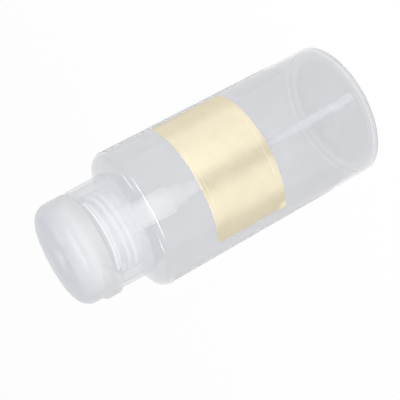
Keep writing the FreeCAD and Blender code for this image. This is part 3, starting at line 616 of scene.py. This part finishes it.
def add_label():
    """The foil label: a bent sheet with round corners, a raised frame line and one lifted corner."""
    half_across = math.radians(LABEL_SWEEP) * LABEL_OUTER / 2
    half_along = (LABEL_TOP - LABEL_BOTTOM) / 2
    middle_angle = math.radians(LABEL_TURN - 90)
    dense_across = [half_across, half_across - FRAME_INSET]
    dense_along = [half_along, half_along - LABEL_CORNER / 2, half_along - FRAME_INSET]
    columns = spaced(half_across, dense_across, LABEL_DENSE_ACROSS)
    rows = spaced(half_along, dense_along, LABEL_DENSE_ALONG)
    front = []
    back = []
    low_surface = LABEL_OUTER - FRAME_HEIGHT
    for along in rows:
        near = half_along - abs(along)
        inset = 0.0
        if near < LABEL_CORNER:
            inset = LABEL_CORNER - math.sqrt(max(LABEL_CORNER ** 2 - (LABEL_CORNER - near) ** 2, 0.0))
        width = (half_across - inset) / half_across
        for across in columns:
            place = across * width
            edge = rounded_box_distance(place, along, half_across, half_along, LABEL_CORNER)
            line = math.exp(-((edge + FRAME_INSET) / FRAME_LINE) ** 2)
            rounding = LABEL_EDGE_DROP * math.exp(edge / LABEL_EDGE_REACH)
            to_corner = math.hypot(place + half_across, along + half_along)
            peel = PEEL_LIFT * smooth_step(1 - to_corner / PEEL_REACH)
            radius = low_surface + FRAME_HEIGHT * line - rounding + peel
            angle = middle_angle + place / LABEL_OUTER
            height = (LABEL_BOTTOM + LABEL_TOP) / 2 + along
            under = LABEL_INNER + peel
            front.append((radius * math.cos(angle), radius * math.sin(angle), height))
            back.append((under * math.cos(angle), under * math.sin(angle), height))

    wide = len(columns)
    tall = len(rows)
    shift = len(front)
    faces = []
    for row in range(tall - 1):
        for column in range(wide - 1):
            corner = row * wide + column
            quad = (corner, corner + 1, corner + wide + 1, corner + wide)
            faces.append(quad)
            faces.append(tuple(shift + index for index in reversed(quad)))
    back_faces = range(1, len(faces), 2)
    border = list(range(wide))
    border += [row * wide + wide - 1 for row in range(1, tall)]
    border += [(tall - 1) * wide + column for column in range(wide - 2, -1, -1)]
    border += [row * wide for row in range(tall - 2, 0, -1)]
    for index, here in enumerate(border):
        after = border[(index + 1) % len(border)]
        faces.append((after, here, here + shift, after + shift))

    label = add_mesh("foil_label", front + back, faces, sharp_angle=40.0)
    paint(label, "gold_foil")
    paint_faces(label, "label_paper", back_faces)
    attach(label, "bottle")
    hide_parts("label")


# Return spring
def spring_height(turn):
    """Height of the wire's middle, with one closer turn at each end."""
    low = SPRING_LOW + SPRING_WIRE / 2
    high = SPRING_HIGH - SPRING_WIRE / 2
    open_turns = SPRING_TURNS - 2
    open_pitch = (high - low - 2 * SPRING_END_PITCH) / open_turns
    if turn < 1:
        return low + SPRING_END_PITCH * turn
    if turn > SPRING_TURNS - 1:
        return high - SPRING_END_PITCH * (SPRING_TURNS - turn)
    return low + SPRING_END_PITCH + open_pitch * (turn - 1)


def add_spring():
    """The coil of round wire, drawn at rest; the real spring shortens as the dish is pressed."""
    up = Vector((0, 0, 1))
    rings = []
    for step in range(SPRING_TURNS * SPRING_STEPS_PER_TURN + 1):
        turn = step / SPRING_STEPS_PER_TURN
        angle = 2 * math.pi * turn
        centre = spring_height(turn)
        out = Vector((math.cos(angle), math.sin(angle), 0))
        ring = []
        for side in range(SPRING_SIDES):
            spin = 2 * math.pi * side / SPRING_SIDES
            ring.append(
                out * (SPRING_MEAN_RADIUS + SPRING_WIRE / 2 * math.cos(spin))
                + up * (centre + SPRING_WIRE / 2 * math.sin(spin)))
        rings.append(ring)
    points, faces = sweep_rings(rings)
    spring = add_mesh("spring_coil", points, faces, sharp_angle=50.0)
    paint(spring, "spring_steel")
    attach(spring, "pump")
    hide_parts("return_spring")
    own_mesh(spring)


# Hinge web
def add_web():
    """The thin web of the hinge, thinnest on its axis, with its ends let into collar and lid."""
    low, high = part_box("hinge_strap")
    half_thick = (high.x - low.x) / 2 / MM
    across = [place / MM for place in evenly(low.y, high.y, WEB_COLUMNS)]
    rings = []
    for step in range(WEB_STEPS + 1):
        share = step / WEB_STEPS
        height = (low.z + (high.z - low.z) * share) / MM
        from_axis = abs(share - 0.5) * 2
        fade = smooth_step((from_axis - WEB_THIN_SPAN) / WEB_FADE_SPAN)
        thick_heel_shade = half_thick * (WEB_THIN + (1 - WEB_THIN) * fade)
        front = [(HINGE_X + thick_heel_shade, place, height) for place in across]
        back = [(HINGE_X - thick_heel_shade, place, height) for place in reversed(across)]
        rings.append(front + back)
    points, faces = sweep_rings(rings)
    web = add_mesh("hinge_web", points, faces, sharp_angle=40.0)
    paint(web, "frosted_plastic")
    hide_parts("hinge_strap")
    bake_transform(web)


# Floor, world, lamps and cards
def add_sheet(name, corners):
    """A flat sheet of the studio with an empty material, and the nodes of that material."""
    mesh = bpy.data.meshes.new(name)
    mesh.from_pydata(corners, [], [tuple(range(len(corners)))])
    sheet = bpy.data.objects.new(name, mesh)
    scene.collection.objects.link(sheet)
    material = bpy.data.materials.new(name)
    material.use_nodes = True
    material.node_tree.nodes.clear()
    mesh.materials.append(material)
    return sheet, material.node_tree


def larger(tree, first, second):
    """The larger of two values."""
    node = tree.nodes.new("ShaderNodeMath")
    node.operation = "MAXIMUM"
    tree.links.new(first, node.inputs[0])
    tree.links.new(second, node.inputs[1])
    return node.outputs["Value"]


def add_floor():
    """A floor that looks white, also through the bottle and in reflections, and takes soft shadows."""
    floor, tree = add_sheet("floor", [
        (-FLOOR_HALF, -FLOOR_HALF, 0),
        (FLOOR_HALF, -FLOOR_HALF, 0),
        (FLOOR_HALF, FLOOR_HALF, 0),
        (-FLOOR_HALF, FLOOR_HALF, 0),
    ])
    floor.location.z = -FLOOR_DROP
    plain = tree.nodes.new("ShaderNodeBsdfDiffuse")
    plain.inputs["Color"].default_value = (FLOOR_GREY, FLOOR_GREY, FLOOR_GREY, 1)
    glow = tree.nodes.new("ShaderNodeEmission")
    glow.inputs["Strength"].default_value = 1.0
    path = tree.nodes.new("ShaderNodeLightPath")
    seen = larger(tree, path.outputs["Is Camera Ray"], path.outputs["Is Glossy Ray"])
    seen = larger(tree, seen, path.outputs["Is Transmission Ray"])
    share = tree.nodes.new("ShaderNodeMath")
    share.operation = "MULTIPLY"
    share.inputs[1].default_value = FLOOR_GLOW_SHARE
    tree.links.new(seen, share.inputs[0])
    mix = tree.nodes.new("ShaderNodeMixShader")
    tree.links.new(share.outputs["Value"], mix.inputs["Fac"])
    tree.links.new(plain.outputs["BSDF"], mix.inputs[1])
    tree.links.new(glow.outputs["Emission"], mix.inputs[2])
    output = tree.nodes.new("ShaderNodeOutputMaterial")
    tree.links.new(mix.outputs["Shader"], output.inputs["Surface"])


def add_world():
    """A nearly white surrounding."""
    world = bpy.data.worlds.new("studio")
    scene.world = world
    world.use_nodes = True
    background = world.node_tree.nodes["Background"]
    background.inputs["Color"].default_value = (0.97, 0.98, 1.0, 1)
    background.inputs["Strength"].default_value = 0.9


def add_lamp(name, place, aim, size, power):
    """A soft lamp that the camera doesn't see."""
    data = bpy.data.lights.new(name, "AREA")
    data.shape = "RECTANGLE"
    data.size, data.size_y = size
    data.energy = power
    lamp = bpy.data.objects.new(name, data)
    lamp.location = place
    way = Vector(aim) - Vector(place)
    lamp.rotation_mode = "QUATERNION"
    lamp.rotation_quaternion = way.to_track_quat("-Z", "Y")
    lamp.visible_camera = False
    scene.collection.objects.link(lamp)


def add_card(name, corners, level):
    """A studio card that only reflections see."""
    card, tree = add_sheet(name, corners)
    glow = tree.nodes.new("ShaderNodeEmission")
    glow.inputs["Color"].default_value = (*level, 1)
    output = tree.nodes.new("ShaderNodeOutputMaterial")
    tree.links.new(glow.outputs["Emission"], output.inputs["Surface"])
    card.visible_camera = False
    card.visible_diffuse = False
    card.visible_transmission = False
    card.visible_shadow = False


def facing(place, aim, size):
    """Corners of a rectangle at a place, square to the way to its aim, with its length along x."""
    ahead = (Vector(aim) - Vector(place)).normalized()
    across = Vector((size[0] / 2, 0, 0))
    rise = across.normalized().cross(ahead) * size[1] / 2
    middle = Vector(place)
    return [middle - across - rise, middle + across - rise, middle + across + rise, middle - across + rise]


def wedge(first, last, near):
    """Corners of a flat wedge just above the floor, between two angles in degrees from the front."""
    corners = []
    for angle, reach in ((first, near), (first, CARD_FAR), (last, CARD_FAR), (last, near)):
        turn = math.radians(angle)
        corners.append((reach * math.sin(turn), -reach * math.cos(turn), CARD_HEIGHT))
    return corners


def add_lights():
    """Lamps from the front, bright cards for the highlights and grey ones for the darker streaks."""
    add_lamp("front_softbox", place=(-0.2, -0.95, 0.85), aim=(0, 0, 0.08), size=(1.2, 1.0), power=2.0)
    add_lamp("front_bar", place=(0.0, -0.62, 0.36), aim=(0, 0, 0.1), size=(1.6, 0.15), power=2.7)
    add_lamp("low_glow", place=(0.09, -0.17, 0.003), aim=(0, 0, 0.07), size=(0.1, 0.14), power=0.005)
    over = facing(place=(0, 0.3, 0.85), aim=(0, 0, 0.1), size=(0.9, 0.1))
    line = facing(place=(0, -0.62, 0.36), aim=(0, 0, 0.1), size=(2.0, 0.03))
    add_card("over_card", over, level=(9, 9, 9))
    add_card("line_card", line, level=(26, 26, 26))
    add_card("dark_card", wedge(-17, 6, CARD_NEAR), level=(0.68, 0.67, 0.65))
    add_card("right_card", wedge(85, 130, CARD_NEAR), level=(0.84, 0.83, 0.82))
    add_card("left_card", wedge(-130, -70, CARD_NEAR), level=(0.74, 0.73, 0.72))
    add_card("far_right_card", wedge(130, 178, CARD_NEAR_BEHIND), level=(0.62, 0.62, 0.63))
    add_card("far_left_card", wedge(-178, -130, CARD_NEAR_BEHIND), level=(0.62, 0.62, 0.63))


# The scene
scene.view_settings.view_transform = "Standard"
scene.cycles.max_bounces = 28
scene.cycles.transmission_bounces = 28
scene.cycles.transparent_max_bounces = 24
scene.cycles.glossy_bounces = 12
scene.cycles.use_denoising = True
add_camera()
materials = make_materials()
for node_name, material_name in NODE_MATERIALS.items():
    paint(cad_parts[node_name], material_name)
for node_name in SEE_THROUGH:
    let_light_in(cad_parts[node_name])
add_bottle()
add_sleeve_thread()
add_label()
add_spring()
add_web()
add_floor()
add_world()
add_lights()

bpy.context.view_layer.update()
